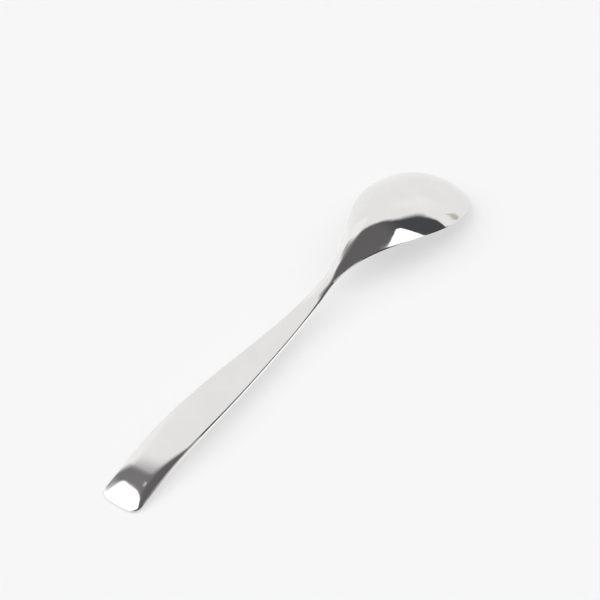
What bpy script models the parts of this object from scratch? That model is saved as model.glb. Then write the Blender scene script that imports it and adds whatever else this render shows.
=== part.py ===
"""Stainless steel tablespoon, lying face down on its handle end and its bowl tip.

Units are metres and +Z is up. X runs along the spoon from the handle's end to the
bowl's tip, and the origin is on the table under the middle of its length. Shapes are
worked out from the seam, the narrow neck where handle and bowl meet: "along" is the
distance from the seam, below zero on the handle and above zero on the bowl, and
"across" is the distance from the spoon's middle plane.
"""

import bmesh
import bpy
import numpy as np

# Plan, seen from above
HANDLE_LENGTH = 0.118       # seam to the handle's end
BOWL_LENGTH = 0.082         # seam to the bowl's tip
HANDLE_WIDTH = 0.0154       # at the broad end
NECK_WIDTH = 0.00375        # what the two flanks run down to
BOWL_WIDTH = 0.0372         # at its widest
END_ROUNDING = 0.0052       # length of the rounded corners at the handle's end
END_SQUARENESS = 3.3        # 2 is an ellipse, higher is squarer
TAPER_FROM_END = 0.0198     # where the handle starts to narrow
TAPER_PAST_SEAM = 0.0314    # where that taper has died out in the bowl
WIDEST_FROM_TIP = 0.0275
TIP_SQUARENESS = 2.5

# Side view: heights of the back's edge over the table, and the bends of the strip
END_EDGE_HEIGHT = 0.0008
TIP_EDGE_HEIGHT = 0.0003
CURL_FROM_END = 0.0067
CURL_LENGTH = 0.0436
CURL_SLOPE = -0.270         # change of slope, rise over run
CRANK_BEFORE_SEAM = 0.0380
CRANK_LENGTH = 0.0400
CRANK_SLOPE = 0.200
SHOULDER_LENGTH = 0.0535    # past the seam
SHOULDER_SLOPE = -0.416
TIP_DIP_LENGTH = 0.0169
TIP_DIP_SLOPE = -0.3735

# Roundness of the back, above its edge
BOWL_DEPTH = 0.00890
DEEPEST_FROM_TIP = 0.0372
HEEL_LEAD = 1.41            # over 1, the bowl deepens early behind the neck
TIP_FULLNESS = 0.652        # lower is a steeper tip
BOWL_ROUNDNESS = 2.24       # power of the cross-section, 2 is a parabola
HANDLE_ROUNDNESS = 7.0      # higher is flatter, with a rounder edge
ROUNDNESS_BEFORE_SEAM = 0.045
ROUNDNESS_BLEND = 0.040
HANDLE_CROWN = 0.0001
END_CROWN = 0.0011          # pillow of the broad end
END_CROWN_LENGTH = 0.042
END_ROLL = 0.0145           # length over which the pillow rolls down to the handle's end
END_ROLL_POWER = 1.6
NECK_CROWN = 0.00064
NECK_CROWN_LENGTH = 0.0141

# Metal thickness, square to the back
BOWL_WALL = 0.0013
HANDLE_EDGE = 0.0014
FRONT_CROWN = 0.0003        # how far the handle's front bulges out
NECK_EXTRA = 0.0003         # added at the neck, for stiffness
WALL_BLEND = 0.026          # past the seam, until the wall is the bowl's
EDGE_ROUNDING = 0.00035

SEAM_GAP = 0.0003           # between the bowl's and the handle's end faces
SEAM_OVERRUN = 0.004        # how far each is drawn past the seam before it is cut

# Mesh steps
HANDLE_STEPS = 40
BOWL_STEPS = 46
HANDLE_COLUMNS = 6
BOWL_COLUMNS = 7
OUTLINE_SAMPLES = 4000
HANDLE_CORE = 0.006         # handle's end to the start of its spine
BOWL_CORE = 0.016           # bowl's tip to the start of its spine
HANDLE_FAN = 0.028          # outline length over which the rows fan out
BOWL_FAN = 0.056
COLUMN_CROWDING = 1.5       # over 1, columns crowd towards the edge
EDGE_SEGMENTS = 2
SHARP_ANGLE = np.radians(40.0)
WELD_DISTANCE = 0.00001
CUTTER_MARGIN = 0.02

STEEL_COLOUR = (0.74, 0.74, 0.73, 1.0)
STEEL_ROUGHNESS = 0.08


def ease(share):
    """Rises from 0 to 1 with no slope and no curvature at either end."""
    share = np.clip(share, 0.0, 1.0)
    return share**3 * (10.0 - 15.0 * share + 6.0 * share**2)


def bend(along, start, length):
    """Height gained for each unit of slope that a bend between start and start + length adds."""
    share = np.clip((along - start) / length, 0.0, 1.0)
    return length * (share**3 - share**4 / 2.0) + np.maximum(along - start - length, 0.0)


def half_width(along):
    """Half of the spoon's width in plan."""
    end, tip = -HANDLE_LENGTH, BOWL_LENGTH
    taper_start = end + TAPER_FROM_END
    taper = ease((along - taper_start) / (TAPER_PAST_SEAM - taper_start))
    widest = tip - WIDEST_FROM_TIP
    opening = np.clip(along / widest, 0.0, 1.0)
    flare = opening**2 * (3.0 - 2.0 * opening)
    width = HANDLE_WIDTH - (HANDLE_WIDTH - NECK_WIDTH) * taper + (BOWL_WIDTH - NECK_WIDTH) * flare
    into_end = np.clip((end + END_ROUNDING - along) / END_ROUNDING, 0.0, 1.0)
    into_tip = np.clip((along - widest) / WIDEST_FROM_TIP, 0.0, 1.0)
    round_end = (1.0 - into_end**END_SQUARENESS) ** (1.0 / END_SQUARENESS)
    round_tip = np.sqrt(1.0 - into_tip**TIP_SQUARENESS)
    return width / 2.0 * round_end * round_tip


def bent_strip(along):
    """Sum of the strip's four bends, before the spoon settles on the table."""
    return (
        CURL_SLOPE * bend(along, CURL_FROM_END - HANDLE_LENGTH, CURL_LENGTH)
        + CRANK_SLOPE * bend(along, -CRANK_BEFORE_SEAM, CRANK_LENGTH)
        + SHOULDER_SLOPE * bend(along, 0.0, SHOULDER_LENGTH)
        + TIP_DIP_SLOPE * bend(along, BOWL_LENGTH - TIP_DIP_LENGTH, TIP_DIP_LENGTH)
    )


def edge_height(along):
    """Height of the back's edge, with the strip tilted until its two ends are down."""
    end, tip = -HANDLE_LENGTH, BOWL_LENGTH
    rise = TIP_EDGE_HEIGHT - END_EDGE_HEIGHT - bent_strip(tip) + bent_strip(end)
    tilt = rise / (tip - end)
    return END_EDGE_HEIGHT + tilt * (along - end) + bent_strip(along) - bent_strip(end)


def crown_height(along):
    """How far the handle's back stands over its edges along the middle."""
    from_end = along + HANDLE_LENGTH
    pillow = 1.0 - ease(from_end / END_CROWN_LENGTH)
    neck = ease(1.0 + along / NECK_CROWN_LENGTH)
    roll = 1.0 - np.clip(1.0 - from_end / END_ROLL, 0.0, 1.0) ** END_ROLL_POWER
    crown = HANDLE_CROWN + (END_CROWN - HANDLE_CROWN) * pillow + (NECK_CROWN - HANDLE_CROWN) * neck
    return crown * roll


def dome_height(along):
    """How far the bowl's back stands over its rim along the middle."""
    deepest = BOWL_LENGTH - DEEPEST_FROM_TIP
    heel = np.clip(along / deepest, 0.0, 1.0)
    deepening = ease(1.0 - (1.0 - heel) ** HEEL_LEAD)
    to_tip = np.clip((along - deepest) / DEEPEST_FROM_TIP, 0.0, 1.0)
    base = crown_height(along)
    return (base + (BOWL_DEPTH - base) * deepening) * (1.0 - to_tip**2) ** TIP_FULLNESS


def rounding(along, across):
    """Share of the crown's or the dome's height that is left at a point in plan."""
    reach = np.clip(across / np.maximum(half_width(along), WELD_DISTANCE), 0.0, 1.0)
    blend = ease((along + ROUNDNESS_BEFORE_SEAM) / ROUNDNESS_BLEND)
    return 1.0 - reach ** (HANDLE_ROUNDNESS + (BOWL_ROUNDNESS - HANDLE_ROUNDNESS) * blend)


def back_height(along, across):
    """Height of the spoon's back at a point in plan."""
    return edge_height(along) + dome_height(along) * rounding(along, across)


def wall(along, across):
    """Metal thickness at a point in plan."""
    neck = ease(1.0 + along / NECK_CROWN_LENGTH)
    middle = crown_height(along) + FRONT_CROWN
    handle_wall = HANDLE_EDGE + NECK_EXTRA * neck + middle * rounding(along, across)
    in_bowl = ease(along / WALL_BLEND)
    return handle_wall + (BOWL_WALL - handle_wall) * in_bowl


def flank(free_end, inner_end, steps, core, fan):
    """Even steps along one flank, from the middle of a free end to past the seam.

    Returns where the steps lie along the spoon, and where each one's row meets the
    middle: rows fan out from the free end and then run square across.
    """
    inwards = np.sign(inner_end - free_end)
    fine = free_end + (inner_end - free_end) * np.linspace(0.0, 1.0, OUTLINE_SAMPLES) ** 3
    walked = np.hypot(np.diff(fine), np.diff(half_width(fine)))
    distance = np.concatenate(([0.0], np.cumsum(walked)))
    even = np.linspace(0.0, distance[-1], steps + 1)
    along = np.interp(even, distance, fine)
    fanned = free_end + inwards * (core + even)
    spine = fanned + (along - fanned) * ease(even / fan)
    return along, spine


def half_shell(name, free_end, inner_end, steps, columns, core, fan):
    """Mesh of the back on one side of the middle plane, with its wall as vertex weights."""
    along, spine = flank(free_end, inner_end, steps, core, fan)
    half = half_width(along)
    grid = bmesh.new()
    bmesh.ops.create_grid(grid, x_segments=steps, y_segments=columns, size=0.5)
    walls = []
    for vertex in grid.verts:
        row = round((vertex.co.x + 0.5) * steps)
        share = 1.0 - (0.5 - vertex.co.y) ** COLUMN_CROWDING
        place = spine[row] + (along[row] - spine[row]) * share
        across = half[row] * share
        walls.append(float(wall(place, across)))
        vertex.co = (place, across, back_height(place, across))
    if inner_end < free_end:
        bmesh.ops.reverse_faces(grid, faces=grid.faces)
    weights = grid.verts.layers.deform.verify()
    thickest = max(walls)
    for vertex, thickness in zip(grid.verts, walls):
        vertex[weights][0] = thickness / thickest
    mesh = bpy.data.meshes.new(name)
    grid.to_mesh(mesh)
    grid.free()
    return mesh, thickest


def cutter(name, low, high, collection):
    """Box between two corners that only cuts."""
    box = bmesh.new()
    bmesh.ops.create_cube(box, size=1.0)
    for vertex in box.verts:
        vertex.co = [b if c > 0 else a for a, b, c in zip(low, high, vertex.co)]
    mesh = bpy.data.meshes.new(name)
    box.to_mesh(mesh)
    box.free()
    tool = bpy.data.objects.new(name, mesh)
    tool.hide_render = True
    tool.display_type = "WIRE"
    collection.objects.link(tool)
    return tool


def add_modifier(piece, kind, name, **settings):
    """Adds a modifier with its settings to a piece."""
    modifier = piece.modifiers.new(name, kind)
    for key, value in settings.items():
        setattr(modifier, key, value)


def steel(name):
    """Polished stainless steel."""
    material = bpy.data.materials.new(name)
    material.use_nodes = True
    shader = material.node_tree.nodes["Principled BSDF"]
    shader.inputs["Base Color"].default_value = STEEL_COLOUR
    shader.inputs["Metallic"].default_value = 1.0
    shader.inputs["Roughness"].default_value = STEEL_ROUGHNESS
    material.diffuse_color = STEEL_COLOUR
    return material


def pressed_piece(name, shell, cuts, parent, collection):
    """One closed piece of the spoon, made from a half shell of its back."""
    mesh, thickest = shell
    piece = bpy.data.objects.new(name, mesh)
    piece.parent = parent
    collection.objects.link(piece)
    piece.vertex_groups.new(name="wall")
    mesh.materials.append(steel(f"{name}_steel"))
    mesh.shade_smooth()
    add_modifier(
        piece, "MIRROR", "other_half",
        use_axis=(False, True, False), use_mirror_merge=True, merge_threshold=WELD_DISTANCE,
    )
    add_modifier(piece, "SOLIDIFY", "metal", thickness=thickest, offset=-1.0, vertex_group="wall")
    add_modifier(
        piece, "BEVEL", "soft_edges",
        width=EDGE_ROUNDING, segments=EDGE_SEGMENTS, limit_method="ANGLE", angle_limit=SHARP_ANGLE,
    )
    for tool in cuts:
        add_modifier(piece, "BOOLEAN", tool.name, operation="DIFFERENCE", solver="EXACT", object=tool)
    return piece


def new_collection(name):
    """Collection linked to the scene."""
    collection = bpy.data.collections.new(name)
    bpy.context.scene.collection.children.link(collection)
    return collection


def main():
    """Builds the bowl and the handle, cut apart at the seam and ground flat where they rest."""
    for thing in list(bpy.data.objects):
        bpy.data.objects.remove(thing)
    parts = new_collection("tablespoon")
    cutters = new_collection("cutters")

    seat = bpy.data.objects.new("tablespoon", None)
    parts.objects.link(seat)
    middle = (HANDLE_LENGTH - BOWL_LENGTH) / 2.0
    seat.location = (middle, 0.0, 0.0)

    length = HANDLE_LENGTH + BOWL_LENGTH
    side = BOWL_WIDTH + CUTTER_MARGIN
    beyond = SEAM_OVERRUN + CUTTER_MARGIN
    bowl_side = cutter(
        "bowl_side", (SEAM_GAP / -2.0, -side, -side), (beyond, side, length), cutters)
    handle_side = cutter(
        "handle_side", (-beyond, -side, -side), (SEAM_GAP / 2.0, side, length), cutters)
    table = cutter("table", (-length, -side, -length), (length, side, 0.0), cutters)
    for tool in (bowl_side, handle_side):
        tool.parent = seat

    handle_shell = half_shell(
        "handle", -HANDLE_LENGTH, SEAM_OVERRUN, HANDLE_STEPS, HANDLE_COLUMNS, HANDLE_CORE, HANDLE_FAN)
    bowl_shell = half_shell(
        "bowl", BOWL_LENGTH, -SEAM_OVERRUN, BOWL_STEPS, BOWL_COLUMNS, BOWL_CORE, BOWL_FAN)
    pressed_piece("handle", handle_shell, (bowl_side, table), seat, parts)
    pressed_piece("bowl", bowl_shell, (handle_side, table), seat, parts)


main()
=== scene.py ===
"""Looks of a tablespoon: mirror-polished stainless steel, lying face down on a white table.

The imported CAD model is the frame. One seamless piece stands for its two nodes, bowl and
handle, because the real spoon is a single pressing. Units are metres and +Z is up. X runs
from the handle's end to the bowl's tip. "Along" is the distance from the seam at the neck,
below zero on the handle, and "across" is the distance from the spoon's middle plane.
"""

from __future__ import annotations

import logging
import math
from dataclasses import dataclass
from enum import Enum

import bpy
import numpy as np
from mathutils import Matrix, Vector

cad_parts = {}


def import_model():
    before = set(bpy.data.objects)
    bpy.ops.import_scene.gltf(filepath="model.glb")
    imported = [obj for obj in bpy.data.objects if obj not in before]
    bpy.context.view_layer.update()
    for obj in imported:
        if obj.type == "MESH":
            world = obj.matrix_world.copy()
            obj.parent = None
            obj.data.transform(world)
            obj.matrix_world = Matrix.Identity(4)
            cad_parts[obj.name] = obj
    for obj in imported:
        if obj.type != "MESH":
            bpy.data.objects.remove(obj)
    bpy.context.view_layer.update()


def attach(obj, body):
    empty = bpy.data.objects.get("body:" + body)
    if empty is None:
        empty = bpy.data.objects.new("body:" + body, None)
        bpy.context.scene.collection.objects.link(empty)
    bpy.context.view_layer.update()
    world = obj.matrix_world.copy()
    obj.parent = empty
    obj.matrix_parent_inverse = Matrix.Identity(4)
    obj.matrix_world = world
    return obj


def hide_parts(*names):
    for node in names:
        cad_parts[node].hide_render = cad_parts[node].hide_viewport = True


LOG = logging.getLogger("tablespoon")
MILLIMETRE = 0.001


def linear(code: str) -> tuple[float, float, float, float]:
    """Turns an sRGB hex colour into linear light.

    Args:
        code: Six hex digits with a leading hash sign.

    Returns:
        Red, green and blue in linear light, and an alpha of 1.
    """
    shares = [int(code[start:start + 2], 16) / 255.0 for start in (1, 3, 5)]
    light = [s / 12.92 if s <= 0.04045 else ((s + 0.055) / 1.055) ** 2.4 for s in shares]
    return (light[0], light[1], light[2], 1.0)


def direction(azimuth: float, elevation: float) -> Vector:
    """Unit vector towards a point of the sky.

    Args:
        azimuth: Degrees from +X towards +Y.
        elevation: Degrees above the table.

    Returns:
        The unit vector.
    """
    turn, lift = math.radians(azimuth), math.radians(elevation)
    flat = math.cos(lift)
    return Vector((math.cos(turn) * flat, math.sin(turn) * flat, math.sin(lift)))


# Sockets of a colour mix, whose names repeat
MIX_FIRST, MIX_SECOND, MIX_RESULT = 6, 7, 2


def add_node(tree: bpy.types.NodeTree, kind: str, settings: dict | None = None,
             links: dict | None = None) -> bpy.types.Node:
    """Adds a node with its settings and its incoming links.

    Args:
        tree: Node tree that takes the node.
        kind: Blender's class name of the node.
        settings: Properties by name, and values of input sockets by their index or name.
        links: Source sockets by the index or name of the input that each one feeds.

    Returns:
        The new node.
    """
    node = tree.nodes.new(kind)
    for key, value in (settings or {}).items():
        if isinstance(key, str) and hasattr(node, key):
            setattr(node, key, value)
        else:
            node.inputs[key].default_value = value
    for key, source in (links or {}).items():
        tree.links.new(source, node.inputs[key])
    return node


def ease(share: np.ndarray) -> np.ndarray:
    """Rises from 0 to 1 with no slope and no curvature at either end."""
    share = np.clip(share, 0.0, 1.0)
    return share**3 * (10.0 - 15.0 * share + 6.0 * share**2)


def bend(along: np.ndarray, start: float, length: float) -> np.ndarray:
    """Height gained by a bend for each unit of slope that it adds.

    Args:
        along: Places along the spoon.
        start: Where the bend starts.
        length: How far the bend reaches.

    Returns:
        The height at each place.
    """
    share = np.clip((along - start) / length, 0.0, 1.0)
    return length * (share**3 - share**4 / 2.0) + np.maximum(along - start - length, 0.0)


class Face(Enum):
    """The two faces of the pressing."""

    BACK = "back"
    FRONT = "front"


@dataclass(frozen=True)
class MirrorSteel:
    """Stainless steel, 18/10, pressed and then buffed to a mirror with a cloth wheel.

    Buffing leaves a clear reflection with a faint haze. Hair-fine wheel marks run along the
    spoon, and handling leaves soft smears that dull the mirror a little.
    """

    body: str = "#EEEDEA"
    smear: str = "#E4E3E1"
    polish: float = 0.040
    haze: float = 0.09
    smear_size: float = 9.0 * MILLIMETRE
    smear_detail: float = 5.0
    smear_roughness: float = 0.6
    smear_start: float = 0.45  # of the noise, where the steel starts to dull
    smear_full: float = 0.8  # of the noise, where it is dullest
    mark_length: float = 14.0 * MILLIMETRE
    mark_spacing: float = 0.45 * MILLIMETRE  # drawn coarser: real marks are finer than a pixel
    mark_depth: float = 0.0006 * MILLIMETRE
    mark_detail: float = 3.0
    mark_strength: float = 0.25

    def material(self, name: str) -> bpy.types.Material:
        """Makes the steel.

        Args:
            name: Name of the material.

        Returns:
            The material.
        """
        material = bpy.data.materials.new(name)
        material.use_nodes = True
        tree = material.node_tree
        shader = tree.nodes["Principled BSDF"]
        shader.inputs["Metallic"].default_value = 1.0
        place = add_node(tree, "ShaderNodeTexCoord").outputs["Object"]
        smears = add_node(
            tree, "ShaderNodeTexNoise",
            {"Scale": 1.0 / self.smear_size, "Detail": self.smear_detail,
             "Roughness": self.smear_roughness},
            {"Vector": place})
        stretch = (1.0 / self.mark_length, 1.0 / self.mark_spacing, 1.0 / self.mark_spacing)
        combed = add_node(
            tree, "ShaderNodeMapping", {"vector_type": "POINT", "Scale": stretch},
            {"Vector": place})
        marks = add_node(
            tree, "ShaderNodeTexNoise", {"Scale": 1.0, "Detail": self.mark_detail},
            {"Vector": combed.outputs["Vector"]})
        tint = add_node(
            tree, "ShaderNodeMix",
            {"data_type": "RGBA", MIX_FIRST: linear(self.body), MIX_SECOND: linear(self.smear)},
            {"Factor": smears.outputs["Fac"]})
        tree.links.new(tint.outputs[MIX_RESULT], shader.inputs["Base Color"])
        dulled = add_node(
            tree, "ShaderNodeMapRange",
            {"From Min": self.smear_start, "From Max": self.smear_full,
             "To Min": self.polish, "To Max": self.haze},
            {"Value": smears.outputs["Fac"]})
        tree.links.new(dulled.outputs["Result"], shader.inputs["Roughness"])
        grooves = add_node(
            tree, "ShaderNodeBump",
            {"Strength": self.mark_strength, "Distance": self.mark_depth},
            {"Height": marks.outputs["Fac"]})
        tree.links.new(grooves.outputs["Normal"], shader.inputs["Normal"])
        return material


@dataclass(frozen=True)
class LightTable:
    """Matt opal acrylic of a photographer's light table, lit from below, so shadows stay pale."""

    colour: str = "#F7F7F8"
    glow: float = 0.50
    side: float = 8.0

    def material(self, name: str) -> bpy.types.Material:
        """Makes the acrylic.

        Args:
            name: Name of the material.

        Returns:
            The material.
        """
        material = bpy.data.materials.new(name)
        material.use_nodes = True
        tree = material.node_tree
        shader = tree.nodes["Principled BSDF"]
        shader.inputs["Base Color"].default_value = linear(self.colour)
        shader.inputs["Roughness"].default_value = 1.0
        shader.inputs["Specular IOR Level"].default_value = 0.0
        lit = add_node(tree, "ShaderNodeEmission", {"Color": linear(self.colour)})
        both = add_node(
            tree, "ShaderNodeMixShader", {"Fac": self.glow},
            {1: shader.outputs["BSDF"], 2: lit.outputs["Emission"]})
        tree.links.new(both.outputs["Shader"], tree.nodes["Material Output"].inputs["Surface"])
        return material


@dataclass
class Tablespoon:
    """The spoon as one pressing, from the broad pillowed handle end to the bowl's tip."""

    # Plan, seen from above
    handle_length: float = 0.118
    bowl_length: float = 0.082
    handle_width: float = 0.0154
    neck_width: float = 0.00375
    bowl_width: float = 0.0372
    end_rounding: float = 0.0052
    end_squareness: float = 3.3
    taper_from_end: float = 0.0198
    taper_past_seam: float = 0.0314
    widest_from_tip: float = 0.0275
    tip_squareness: float = 2.5

    # Side view
    end_edge_height: float = 0.0008
    tip_edge_height: float = 0.0003
    curl_from_end: float = 0.0067
    curl_length: float = 0.0436
    curl_slope: float = -0.270
    crank_before_seam: float = 0.0380
    crank_length: float = 0.0400
    crank_slope: float = 0.200
    shoulder_length: float = 0.0535
    shoulder_slope: float = -0.416
    tip_dip_length: float = 0.0169
    tip_dip_slope: float = -0.3735

    # Roundness of the back, above its edge
    bowl_depth: float = 0.00890
    deepest_from_tip: float = 0.0372
    heel_lead: float = 1.41
    tip_fullness: float = 0.652
    bowl_roundness: float = 2.24
    handle_roundness: float = 7.0
    roundness_before_seam: float = 0.045
    roundness_blend: float = 0.040
    handle_crown: float = 0.0001
    end_crown: float = 0.0011
    end_crown_length: float = 0.042
    end_roll: float = 0.0145
    end_roll_power: float = 1.6
    neck_crown: float = 0.00064
    neck_crown_length: float = 0.0141

    # Metal thickness
    bowl_wall: float = 0.0013
    handle_edge: float = 0.0014
    front_crown: float = 0.0003
    neck_extra: float = 0.0003
    wall_blend: float = 0.026
    edge_rounding: float = 0.00055
    rim_rounding: float = 0.00020
    rim_from_seam: float = 0.010

    # Mesh
    rows: int = 380
    columns: int = 52
    row_crowding: float = 0.9
    column_crowding: float = 1.47
    slope_step: float = 0.00002
    edge_steps: int = 4
    outline_samples: int = 6000
    end_fan: float = 0.012
    tip_fan: float = 0.030
    slimmest: float = 1e-6

    def half_width(self, along: np.ndarray) -> np.ndarray:
        """Half of the spoon's width in plan.

        Args:
            along: Places along the spoon.

        Returns:
            The half width at each place.
        """
        end, tip = -self.handle_length, self.bowl_length
        taper_start = end + self.taper_from_end
        taper = ease((along - taper_start) / (self.taper_past_seam - taper_start))
        widest = tip - self.widest_from_tip
        opening = np.clip(along / widest, 0.0, 1.0)
        flare = opening**2 * (3.0 - 2.0 * opening)
        width = self.handle_width - (self.handle_width - self.neck_width) * taper
        width = width + (self.bowl_width - self.neck_width) * flare
        into_end = np.clip((end + self.end_rounding - along) / self.end_rounding, 0.0, 1.0)
        into_tip = np.clip((along - widest) / self.widest_from_tip, 0.0, 1.0)
        round_end = (1.0 - into_end**self.end_squareness) ** (1.0 / self.end_squareness)
        round_tip = np.sqrt(1.0 - into_tip**self.tip_squareness)
        return width / 2.0 * round_end * round_tip

    def bent_strip(self, along: np.ndarray) -> np.ndarray:
        """Sum of the strip's four bends, before the spoon settles on the table.

        Args:
            along: Places along the spoon.

        Returns:
            The height at each place.
        """
        curl_start = self.curl_from_end - self.handle_length
        dip_start = self.bowl_length - self.tip_dip_length
        return (
            self.curl_slope * bend(along, curl_start, self.curl_length)
            + self.crank_slope * bend(along, -self.crank_before_seam, self.crank_length)
            + self.shoulder_slope * bend(along, 0.0, self.shoulder_length)
            + self.tip_dip_slope * bend(along, dip_start, self.tip_dip_length)
        )

    def edge_height(self, along: np.ndarray) -> np.ndarray:
        """Height of the back's edge, with the strip tilted until its two ends are down.

        Args:
            along: Places along the spoon.

        Returns:
            The height at each place.
        """
        end, tip = -self.handle_length, self.bowl_length
        at_end, at_tip = self.bent_strip(np.array([end, tip]))
        tilt = (self.tip_edge_height - self.end_edge_height - at_tip + at_end) / (tip - end)
        return self.end_edge_height + tilt * (along - end) + self.bent_strip(along) - at_end

    def crown_height(self, along: np.ndarray) -> np.ndarray:
        """How far the handle's back stands over its edges along the middle.

        Args:
            along: Places along the spoon.

        Returns:
            The height at each place.
        """
        from_end = along + self.handle_length
        pillow = 1.0 - ease(from_end / self.end_crown_length)
        neck = ease(1.0 + along / self.neck_crown_length)
        roll = 1.0 - np.clip(1.0 - from_end / self.end_roll, 0.0, 1.0) ** self.end_roll_power
        crown = self.handle_crown + (self.end_crown - self.handle_crown) * pillow
        return (crown + (self.neck_crown - self.handle_crown) * neck) * roll

    def dome_height(self, along: np.ndarray) -> np.ndarray:
        """How far the back stands over its edge along the middle, from handle to bowl.

        Args:
            along: Places along the spoon.

        Returns:
            The height at each place.
        """
        deepest = self.bowl_length - self.deepest_from_tip
        heel = np.clip(along / deepest, 0.0, 1.0)
        deepening = ease(1.0 - (1.0 - heel) ** self.heel_lead)
        to_tip = np.clip((along - deepest) / self.deepest_from_tip, 0.0, 1.0)
        base = self.crown_height(along)
        dome = base + (self.bowl_depth - base) * deepening
        return dome * (1.0 - to_tip**2) ** self.tip_fullness

    def rounding(self, along: np.ndarray, across: np.ndarray) -> np.ndarray:
        """Share of the height over the edge that is left away from the middle.

        Args:
            along: Places along the spoon.
            across: Distances from the middle plane.

        Returns:
            The share at each point, 1 in the middle and 0 at the edge.
        """
        half = np.maximum(self.half_width(along), self.slimmest)
        reach = np.clip(np.abs(across) / half, 0.0, 1.0)
        blend = ease((along + self.roundness_before_seam) / self.roundness_blend)
        more = self.bowl_roundness - self.handle_roundness
        return 1.0 - reach ** (self.handle_roundness + more * blend)

    def back_height(self, along: np.ndarray, across: np.ndarray) -> np.ndarray:
        """Height of the spoon's back.

        Args:
            along: Places along the spoon.
            across: Distances from the middle plane.

        Returns:
            The height at each point.
        """
        return self.edge_height(along) + self.dome_height(along) * self.rounding(along, across)

    def wall(self, along: np.ndarray, across: np.ndarray) -> np.ndarray:
        """Metal thickness.

        Args:
            along: Places along the spoon.
            across: Distances from the middle plane.

        Returns:
            The thickness at each point.
        """
        neck = ease(1.0 + along / self.neck_crown_length)
        middle = self.crown_height(along) + self.front_crown
        bulge = middle * self.rounding(along, across)
        handle_wall = self.handle_edge + self.neck_extra * neck + bulge
        return handle_wall + (self.bowl_wall - handle_wall) * ease(along / self.wall_blend)

    def edge_radius(self, along: np.ndarray) -> np.ndarray:
        """Radius of the rounded edge, from the handle's to the bowl's.

        Args:
            along: Places along the spoon.

        Returns:
            The radius at each place.
        """
        more = self.rim_rounding - self.edge_rounding
        return self.edge_rounding + more * ease(along / self.rim_from_seam)

    def outline(self) -> tuple[np.ndarray, np.ndarray]:
        """Outline of one flank, drawn in from the true edge by the edge's radius.

        Returns:
            Places along the spoon from end to tip, and the half width at each.
        """
        turn = np.linspace(0.0, math.pi, self.outline_samples)
        length = self.handle_length + self.bowl_length
        along = -self.handle_length + length * (1.0 - np.cos(turn)) / 2.0
        half = self.half_width(along)
        run, rise = np.gradient(along), np.gradient(half)
        inset = self.edge_radius(along) / np.hypot(run, rise)
        return along + inset * rise, half - inset * run

    def back_normals(self, along: np.ndarray, across: np.ndarray) -> np.ndarray:
        """Directions square to the back.

        Args:
            along: Places along the spoon.
            across: Places across it.

        Returns:
            One unit vector for each place.
        """
        step = self.slope_step
        rise = self.back_height(along + step, across) - self.back_height(along - step, across)
        lean = self.back_height(along, across + step) - self.back_height(along, across - step)
        normals = np.stack((-rise, -lean, np.full(rise.shape, 2.0 * step)), axis=-1)
        return normals / np.linalg.norm(normals, axis=-1, keepdims=True)

    def plan_grid(self) -> tuple[np.ndarray, np.ndarray]:
        """Grid in plan whose rows run across and curve into the outline at both ends.

        Returns:
            Along and across of each grid point, one row of the array per row of the grid.
        """
        along, half = self.outline()
        lean = np.arctan2(np.gradient(half), np.gradient(along))
        corner = math.radians(45.0)
        first = int(np.argmax(lean < corner))
        last = len(lean) - 1 - int(np.argmax(lean[::-1] > -corner))
        flank_along, flank_half = along[first:last + 1], half[first:last + 1]
        walked = np.hypot(np.diff(flank_along), np.diff(flank_half))
        distance = np.concatenate(([0.0], np.cumsum(walked)))
        even = np.linspace(0.0, 1.0, self.rows + 1)
        even = distance[-1] * (even - self.row_crowding * np.sin(math.tau * even) / math.tau)
        row_along = np.interp(even, distance, flank_along)[:, None]
        row_half = np.interp(even, distance, flank_half)[:, None]
        turn = np.linspace(self.column_crowding, -self.column_crowding, self.columns + 1)
        share = np.sin(turn)[None, :] / math.sin(self.column_crowding)
        end_bulge = np.interp(np.abs(share) * half[first], half[:first + 1], along[:first + 1])
        tip_bulge = np.interp(np.abs(share) * half[last], half[:last - 1:-1], along[:last - 1:-1])
        near_end = 1.0 - ease((row_along - along[first]) / self.end_fan)
        near_tip = 1.0 - ease((along[last] - row_along) / self.tip_fan)
        curved = row_along + near_end * (end_bulge - along[first])
        curved = curved + near_tip * (tip_bulge - along[last])
        return curved, row_half * share

    def grid_numbers(self) -> np.ndarray:
        """Numbers of the grid points, one row of the array per row of the grid."""
        shape = (self.rows + 1, self.columns + 1)
        return np.arange(math.prod(shape)).reshape(shape)

    def faces_of_sheet(self) -> np.ndarray:
        """Corner numbers of the quads of one grid, anticlockwise seen from above."""
        number = self.grid_numbers()
        corners = (number[:-1, :-1], number[:-1, 1:], number[1:, 1:], number[1:, :-1])
        return np.stack(corners, axis=-1).reshape(-1, 4)

    def border(self) -> np.ndarray:
        """Numbers of the grid points round the border, clockwise seen from above."""
        number = self.grid_numbers()
        return np.concatenate(
            (number[:-1, 0], number[-1, :-1], number[:0:-1, -1], number[0, :0:-1]))

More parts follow.
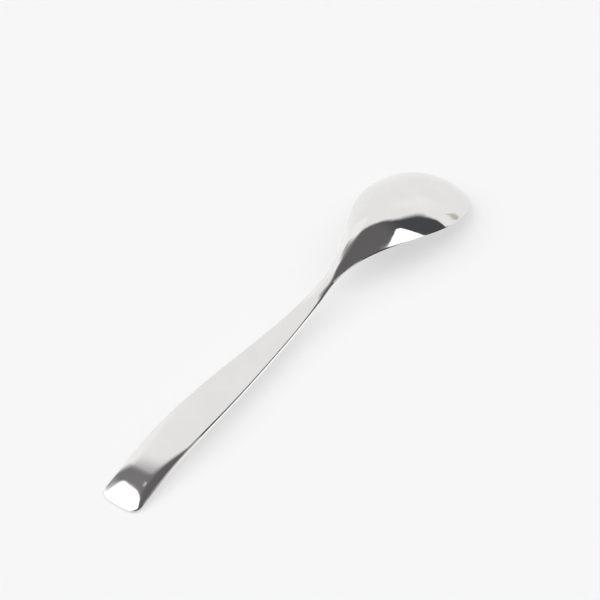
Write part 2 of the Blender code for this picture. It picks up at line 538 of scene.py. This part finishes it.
    def edge_rings(self, points: np.ndarray, normals: np.ndarray, walls: np.ndarray) -> np.ndarray:
        """Points of the rounded edge between the back's border and the front's.

        Args:
            points: Border points on the back, with X from the seam.
            normals: Normals of the back there.
            walls: Metal thickness there.

        Returns:
            Rings of points from back to front, without the two borders themselves.
        """
        run = np.roll(points, -1, axis=0) - np.roll(points, 1, axis=0)
        outward = np.stack((-run[:, 1], run[:, 0]), axis=-1)
        outward /= np.linalg.norm(outward, axis=-1, keepdims=True)
        radius = self.edge_radius(points[:, 0])[:, None]
        rim = points[:, :2] + outward * radius
        out = np.column_stack((rim, self.back_height(rim[:, 0], rim[:, 1]))) - points
        rings = []
        for face in Face:
            for step in range(1, self.edge_steps + 1):
                turn = math.pi / 2.0 * step / self.edge_steps
                depth = radius * (1.0 - math.cos(turn))
                if face is Face.FRONT:
                    turn = math.pi / 2.0 * (self.edge_steps - step) / self.edge_steps
                    depth = walls[:, None] - radius * (1.0 - math.cos(turn))
                rings.append(points - normals * depth + out * math.sin(turn))
        return np.stack(rings[:-1])

    def mesh(self, name: str) -> bpy.types.Mesh:
        """Builds the closed mesh of the spoon.

        Args:
            name: Name of the mesh.

        Returns:
            The mesh, smooth shaded.
        """
        along, across = self.plan_grid()
        back = np.stack((along, across, self.back_height(along, across)), axis=-1)
        normals = self.back_normals(along, across)
        walls = self.wall(along, across)
        front = (back - normals * walls[..., None]).reshape(-1, 3)
        back, normals, walls = back.reshape(-1, 3), normals.reshape(-1, 3), walls.reshape(-1)
        border, sheet = self.border(), self.faces_of_sheet()
        rings = self.edge_rings(back[border], normals[border], walls[border])
        points = np.concatenate((back, front, rings.reshape(-1, 3)))
        points[:, 0] += (self.handle_length - self.bowl_length) / 2.0
        points[:, 2] = np.maximum(points[:, 2], 0.0)

        ring_numbers = np.arange(2 * len(back), len(points)).reshape(-1, len(border))
        band = np.concatenate((border[None], ring_numbers, border[None] + len(back)))
        ahead = np.roll(band, -1, axis=1)
        edge = np.stack((band[:-1], ahead[:-1], ahead[1:], band[1:]), axis=-1).reshape(-1, 4)
        faces = np.concatenate((sheet, sheet[:, ::-1] + len(back), edge))
        mesh = bpy.data.meshes.new(name)
        mesh.from_pydata(points.tolist(), [], faces.tolist())
        mesh.shade_smooth()
        return mesh

    def build(self, finish: MirrorSteel) -> bpy.types.Object:
        """Makes the spoon, dresses it and ties it to the CAD model.

        Args:
            finish: Steel that the spoon is made of.

        Returns:
            The spoon's object.
        """
        piece = bpy.data.objects.new("spoon", self.mesh("spoon"))
        bpy.context.scene.collection.objects.link(piece)
        piece.data.materials.append(finish.material("mirror_steel"))
        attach(piece, "root")
        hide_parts("bowl", "handle")
        return piece


class Axis(Enum):
    """Axis of the studio along which a card's tone changes."""

    X = "X"
    Y = "Y"


@dataclass(frozen=True)
class Wash:
    """Second tone of a card that takes over between two places along an axis.

    Where the start lies above the stop, the tone takes over in the other direction.
    """

    axis: Axis
    start: float
    stop: float
    tone: str


@dataclass(frozen=True)
class Card:
    """Flat studio card that only the steel's reflections show, with a soft border.

    Each corner of the outline is a place and the width of the soft border there, which lies
    half inside and half outside the outline.
    """

    name: str
    tone: str
    light: float
    outline: tuple[tuple[float, float, float, float], ...]
    washes: tuple[Wash, ...] = ()
    sharpest: float = 0.4  # keeps the border of a sharp corner from running far out

    def rings(self) -> tuple[list[Vector], list[Vector]]:
        """Corners of the card's border and of the full-toned area within it.

        Returns:
            The outer and the inner corners.
        """
        corners = [Vector(corner[:3]) for corner in self.outline]
        following = corners[1:] + corners[:1]
        turns = (here.cross(there) for here, there in zip(corners, following))
        facing = sum(turns, Vector()).normalized()
        outer, inner = [], []
        for number, corner in enumerate(corners):
            before = (corner - corners[number - 1]).normalized()
            after = (following[number] - corner).normalized()
            inwards = [facing.cross(edge) for edge in (before, after)]
            middle = (inwards[0] + inwards[1]).normalized()
            width = self.outline[number][3]
            half = middle * width / 2.0 / max(middle.dot(inwards[0]), self.sharpest)
            outer.append(corner - half)
            inner.append(corner + half)
        return outer, inner

    def material(self) -> bpy.types.Material:
        """Makes the card's tone and washes, which fade out over the soft border.

        Returns:
            The material.
        """
        material = bpy.data.materials.new(self.name)
        material.use_nodes = True
        tree = material.node_tree
        tree.nodes.clear()
        cover = add_node(tree, "ShaderNodeAttribute", {"attribute_name": "cover"})
        fade = add_node(
            tree, "ShaderNodeMapRange", {"interpolation_type": "SMOOTHSTEP"},
            {"Value": cover.outputs["Fac"]})
        clear = add_node(tree, "ShaderNodeBsdfTransparent")
        tone = add_node(
            tree, "ShaderNodeEmission", {"Color": linear(self.tone), "Strength": self.light})
        geometry = add_node(tree, "ShaderNodeNewGeometry")
        place = add_node(
            tree, "ShaderNodeSeparateXYZ", {}, {"Vector": geometry.outputs["Position"]})
        washed = None
        for wash in self.washes:
            share = add_node(
                tree, "ShaderNodeMapRange",
                {"interpolation_type": "SMOOTHSTEP", "From Min": wash.start,
                 "From Max": wash.stop},
                {"Value": place.outputs[wash.axis.value]})
            mixed = add_node(
                tree, "ShaderNodeMix",
                {"data_type": "RGBA", MIX_FIRST: linear(self.tone),
                 MIX_SECOND: linear(wash.tone)},
                {"Factor": share.outputs["Result"]})
            if washed:
                tree.links.new(washed, mixed.inputs[MIX_FIRST])
            washed = mixed.outputs[MIX_RESULT]
            tree.links.new(washed, tone.inputs["Color"])
        shown = add_node(
            tree, "ShaderNodeMixShader", {},
            {"Fac": fade.outputs["Result"], 1: clear.outputs["BSDF"],
             2: tone.outputs["Emission"]})
        add_node(tree, "ShaderNodeOutputMaterial", {}, {"Surface": shown.outputs["Shader"]})
        return material

    def build(self) -> bpy.types.Object:
        """Hangs the card in the studio.

        Returns:
            The card.
        """
        outer, inner = self.rings()
        count = len(outer)
        faces: list[tuple[int, ...]] = [tuple(range(count, 2 * count))]
        for number in range(count):
            ahead = (number + 1) % count
            faces.append((number, ahead, count + ahead, count + number))
        mesh = bpy.data.meshes.new(self.name)
        mesh.from_pydata([*outer, *inner], [], faces)
        cover = mesh.attributes.new("cover", "FLOAT", "POINT")
        cover.data.foreach_set("value", [0.0] * count + [1.0] * count)
        mesh.materials.append(self.material())
        card = bpy.data.objects.new(self.name, mesh)
        bpy.context.scene.collection.objects.link(card)
        for kind in ("camera", "diffuse", "transmission", "volume_scatter", "shadow"):
            setattr(card, f"visible_{kind}", False)
        return card


@dataclass(frozen=True)
class Lamp:
    """Soft light so broad that it casts a shadow with a wide, faint border.

    Its place in the sky and its spread are in degrees.
    """

    name: str
    light: float
    azimuth: float
    elevation: float
    spread: float

    def build(self) -> bpy.types.Object:
        """Hangs the lamp. The steel shows the cards in its place.

        Returns:
            The lamp.
        """
        data = bpy.data.lights.new(self.name, "SUN")
        data.energy = self.light
        data.angle = math.radians(self.spread)
        lamp = bpy.data.objects.new(self.name, data)
        lamp.rotation_mode = "QUATERNION"
        lamp.rotation_quaternion = direction(self.azimuth, self.elevation).to_track_quat("Z", "Y")
        lamp.visible_glossy = False
        bpy.context.scene.collection.objects.link(lamp)
        return lamp


# Planes of the studio that the cards hang in. Where two cards cross, the nearer one shows.
ROOF = 0.48
UNDER_ROOF = ROOF - 0.01
OVER_ROOF = ROOF + 0.02
ABOVE_ROOF = ROOF + 0.05
FRONT = -0.90
PAST_FRONT = FRONT - 0.10
WINDOW = -0.60
FAR_WALL = 3.50
ON_TABLE = 0.0004
BELOW_TABLE = -0.05


@dataclass(frozen=True)
class Studio:
    """White table in a white room, with dark cards overhead and on the camera's side.

    The room's light and the lamps add up to about 1 on the table, so colours look as written.
    """

    background: str = "#F7F7F8"
    room_light: float = 0.15
    lamps: tuple[Lamp, ...] = (
        Lamp("key", 2.21, 140.0, 60.0, 75.0),
        Lamp("fill", 0.90, -54.0, 55.0, 60.0),
    )
    cards: tuple[Card, ...] = (
        # Gives the grey of the bowl's heel and the band at the handle's end
        Card("dark_roof", "#7F7E80", 1.0, (
            (0.345, 2.600, ROOF, 0.06),
            (-2.00, 2.600, ROOF, 0.06),
            (-2.00, PAST_FRONT, ROOF, 0.01),
            (1.215, PAST_FRONT, ROOF, 0.06),
            (1.099, -0.825, ROOF, 0.06),
            (0.952, -0.636, ROOF, 0.08),
            (0.785, -0.486, ROOF, 0.12),
            (0.702, -0.385, ROOF, 0.18),
            (0.630, -0.325, ROOF, 0.18),
            (0.530, -0.315, ROOF, 0.18),
            (0.432, -0.316, ROOF, 0.16),
            (0.356, -0.275, ROOF, 0.14),
            (0.270, -0.152, ROOF, 0.11),
            (0.194, -0.070, ROOF, 0.09),
            (0.130, 0.050, ROOF, 0.09),
            (0.099, 0.115, ROOF, 0.08),
            (0.073, 0.177, ROOF, 0.08),
            (0.030, 0.232, ROOF, 0.08),
            (0.000, 0.263, ROOF, 0.09),
            (-0.012, 0.350, ROOF, 0.10),
            (-0.008, 0.450, ROOF, 0.10),
            (0.008, 0.600, ROOF, 0.10),
            (0.221, 1.635, ROOF, 0.06),
        ), (
            Wash(Axis.Y, 0.60, 1.20, "#929398"),
            Wash(Axis.Y, 0.23, 0.15, "#686668"),
            Wash(Axis.X, 0.12, 0.42, "#4B4C50"),
        )),
        # Goes on down from the roof, for the low side of the bowl
        Card("dark_front", "#686668", 1.0, (
            (1.12, FRONT, BELOW_TABLE, 0.001),
            (1.12, FRONT, ABOVE_ROOF, 0.001),
            (-2.00, FRONT, ABOVE_ROOF, 0.001),
            (-2.00, FRONT, BELOW_TABLE, 0.001),
        ), (
            Wash(Axis.X, 0.12, 0.42, "#4B4C50"),
        )),
        # Gives the white patch with straight sides low on the bowl
        Card("low_window", "#FFFFFF", 1.5, (
            (0.090, WINDOW, -0.010, 0.004),
            (0.130, WINDOW, -0.010, 0.004),
            (0.285, WINDOW, 0.190, 0.004),
            (0.285, WINDOW, 0.300, 0.004),
            (0.300, WINDOW, 0.420, 0.004),
            (0.257, WINDOW, 0.419, 0.004),
            (0.196, WINDOW, 0.350, 0.004),
            (0.115, WINDOW, 0.244, 0.004),
            (0.064, WINDOW, 0.154, 0.004),
            (0.046, WINDOW, 0.114, 0.004),
            (0.043, WINDOW, 0.086, 0.004),
        )),
        # Gives the white patch on the handle's end
        Card("left_window", "#FFFFFF", 1.5, (
            (-0.107, 0.243, UNDER_ROOF, 0.003),
            (-0.118, 0.262, UNDER_ROOF, 0.020),
            (-0.129, 0.300, UNDER_ROOF, 0.060),
            (-0.134, 0.360, UNDER_ROOF, 0.100),
            (-0.128, 0.410, UNDER_ROOF, 0.120),
            (-0.085, 0.620, UNDER_ROOF, 0.120),
            (-0.040, 0.770, UNDER_ROOF, 0.120),
            (0.022, 0.930, UNDER_ROOF, 0.120),
            (0.060, 1.500, UNDER_ROOF, 0.120),
            (-1.500, 1.500, UNDER_ROOF, 0.090),
            (-1.500, 0.000, UNDER_ROOF, 0.010),
            (-0.188, 0.000, UNDER_ROOF, 0.004),
            (-0.168, 0.036, UNDER_ROOF, 0.004),
            (-0.143, 0.097, UNDER_ROOF, 0.004),
            (-0.132, 0.191, UNDER_ROOF, 0.003),
            (-0.124, 0.220, UNDER_ROOF, 0.003),
            (-0.114, 0.236, UNDER_ROOF, 0.003),
        )),
        # Gives the bright far flank of the neck and the bowl
        Card("tall_window", "#FFFFFF", 1.02, (
            (0.42, 0.75, OVER_ROOF, 0.12),
            (1.40, FAR_WALL, OVER_ROOF, 0.50),
            (-0.10, FAR_WALL, OVER_ROOF, 0.12),
            (-0.10, 0.30, OVER_ROOF, 0.08),
            (0.10, 0.28, OVER_ROOF, 0.08),
            (0.24, 0.32, OVER_ROOF, 0.10),
            (0.32, 0.42, OVER_ROOF, 0.12),
        )),
        # Goes on down from the tall window
        Card("far_wall", "#FFFFFF", 1.02, (
            (1.45, FAR_WALL, -0.10, 0.60),
            (1.45, FAR_WALL, 0.60, 0.60),
            (-0.50, FAR_WALL, 0.60, 0.20),
            (-0.50, FAR_WALL, -0.10, 0.20),
        )),
        # Goes on from the far wall, over the table behind the spoon
        Card("far_table", "#FFFFFF", 1.02, (
            (0.060, 0.030, ON_TABLE, 0.012),
            (0.074, 0.070, ON_TABLE, 0.030),
            (0.130, 0.200, ON_TABLE, 0.080),
            (0.480, 1.000, ON_TABLE, 0.300),
            (1.450, 3.480, ON_TABLE, 0.600),
            (-0.500, 3.480, ON_TABLE, 0.200),
            (-0.500, 0.030, ON_TABLE, 0.012),
        )),
        # Gives the lighter middle of the bowl's back
        Card("soft_window", "#FFFFFF", 0.97, (
            (0.70, -0.25, OVER_ROOF, 0.45),
            (1.35, -0.30, OVER_ROOF, 0.45),
            (1.35, 0.30, OVER_ROOF, 0.45),
            (0.70, 0.25, OVER_ROOF, 0.45),
        )),
        # Gives the small fleck in the band at the handle's end
        Card("roof_lamp", "#D4D3D6", 1.0, (
            (-0.066, 0.224, UNDER_ROOF, 0.006),
            (-0.090, 0.219, UNDER_ROOF, 0.006),
            (-0.090, 0.204, UNDER_ROOF, 0.006),
            (-0.066, 0.209, UNDER_ROOF, 0.006),
        )),
        # Gives the faint fleck near the tip
        Card("far_corner", "#C4C2BB", 1.0, (
            (1.21, WINDOW, 0.258, 0.04),
            (1.33, WINDOW, 0.262, 0.05),
            (1.43, WINDOW, 0.285, 0.07),
            (1.58, WINDOW, 0.375, 0.16),
            (1.52, WINDOW, 0.440, 0.16),
            (1.39, WINDOW, 0.385, 0.08),
            (1.30, WINDOW, 0.348, 0.05),
            (1.20, WINDOW, 0.302, 0.04),
        )),
        # Gives the dark line along the near edge
        Card("dark_floor", "#141416", 1.0, (
            (0.046, -0.013, ON_TABLE, 0.002),
            (0.018, -0.004, ON_TABLE, 0.002),
            (0.018, -0.024, ON_TABLE, 0.002),
            (-0.050, -0.0175, ON_TABLE, 0.002),
            (-0.085, -0.0095, ON_TABLE, 0.002),
            (-0.085, -0.0085, ON_TABLE, 0.001),
            (-0.102, -0.0085, ON_TABLE, 0.001),
            (-0.102, -0.028, ON_TABLE, 0.002),
            (-2.00, -0.028, ON_TABLE, 0.002),
            (-2.00, FRONT, ON_TABLE, 0.002),
            (0.15, FRONT, ON_TABLE, 0.002),
        )),
        # Gives the bright line under it
        Card("bounce_card", "#FFFFFF", 1.25, (
            (0.018, -0.002, ON_TABLE, 0.001),
            (-0.084, -0.002, ON_TABLE, 0.001),
            (-0.084, -0.0095, ON_TABLE, 0.001),
            (-0.050, -0.0175, ON_TABLE, 0.001),
            (0.018, -0.024, ON_TABLE, 0.001),
        )),
    )

    def table(self, finish: LightTable) -> bpy.types.Object:
        """Lays the light table that the spoon rests on.

        Args:
            finish: What the table top is made of.

        Returns:
            The table top.
        """
        half = finish.side / 2.0
        mesh = bpy.data.meshes.new("table")
        mesh.from_pydata(
            [(-half, -half, 0.0), (half, -half, 0.0), (half, half, 0.0), (-half, half, 0.0)],
            [], [(0, 1, 2, 3)])
        top = bpy.data.objects.new("table", mesh)
        bpy.context.scene.collection.objects.link(top)
        mesh.materials.append(finish.material("opal_acrylic"))
        return top

    def room(self) -> bpy.types.World:
        """Makes the white room, seen by the camera and in the steel, and its even light.

        Returns:
            The world.
        """
        world = bpy.data.worlds.new("white_room")
        world.use_nodes = True
        tree = world.node_tree
        tree.nodes.clear()
        ray = add_node(tree, "ShaderNodeLightPath")
        seen = ray.outputs["Is Camera Ray"]
        for kind in ("Is Glossy Ray", "Is Transmission Ray"):
            either = add_node(
                tree, "ShaderNodeMath", {"operation": "MAXIMUM"},
                {0: seen, 1: ray.outputs[kind]})
            seen = either.outputs["Value"]
        white = (1.0, 1.0, 1.0, 1.0)
        even = add_node(tree, "ShaderNodeBackground", {"Color": white, "Strength": self.room_light})
        plain = add_node(tree, "ShaderNodeBackground", {"Color": linear(self.background)})
        shown = add_node(
            tree, "ShaderNodeMixShader", {},
            {"Fac": seen, 1: even.outputs["Background"], 2: plain.outputs["Background"]})
        add_node(tree, "ShaderNodeOutputWorld", {}, {"Surface": shown.outputs["Shader"]})
        bpy.context.scene.world = world
        return world


@dataclass(frozen=True)
class PhotoCamera:
    """Camera at the photograph's place, fitted to the spoon's outline.

    Angles are in degrees, the focal length in pixels and the sensor's width in millimetres.
    """

    azimuth: float = 215.98
    elevation: float = 43.54
    distance: float = 0.760
    aim: tuple[float, float, float] = (0.01481, 0.00919, 0.0)
    focal_pixels: float = 2107.0
    image_side: float = 600.0
    sensor: float = 36.0
    nearest: float = 0.01

    def build(self) -> bpy.types.Object:
        """Makes the camera and gives it to the scene.

        Returns:
            The camera.
        """
        data = bpy.data.cameras.new("photo_camera")
        data.sensor_width = self.sensor
        data.lens = self.focal_pixels * self.sensor / self.image_side
        data.clip_start = self.nearest
        camera = bpy.data.objects.new("photo_camera", data)
        away = direction(self.azimuth, self.elevation)
        camera.location = Vector(self.aim) + away * self.distance
        camera.rotation_mode = "QUATERNION"
        camera.rotation_quaternion = (-away).to_track_quat("-Z", "Y")
        bpy.context.scene.collection.objects.link(camera)
        bpy.context.scene.camera = camera
        return camera


def report(thing: bpy.types.ID, words: str) -> None:
    """Logs one finished thing.

    Args:
        thing: What was made.
        words: What it is.
    """
    LOG.info("%s: %s", thing.name, words)


def main() -> None:
    """Builds the camera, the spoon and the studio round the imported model."""
    logging.basicConfig(level=logging.INFO, format="%(name)s %(message)s")
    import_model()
    bpy.context.scene.view_settings.view_transform = "Standard"
    report(PhotoCamera().build(), "camera at the photograph's place")
    report(Tablespoon().build(MirrorSteel()), "seamless pressing in mirror-polished steel")
    studio = Studio()
    report(studio.table(LightTable()), "light table")
    for lamp in studio.lamps:
        report(lamp.build(), "broad soft lamp")
    report(studio.room(), "white room")
    for card in studio.cards:
        report(card.build(), "studio card")


if __name__ == "__main__":
    main()
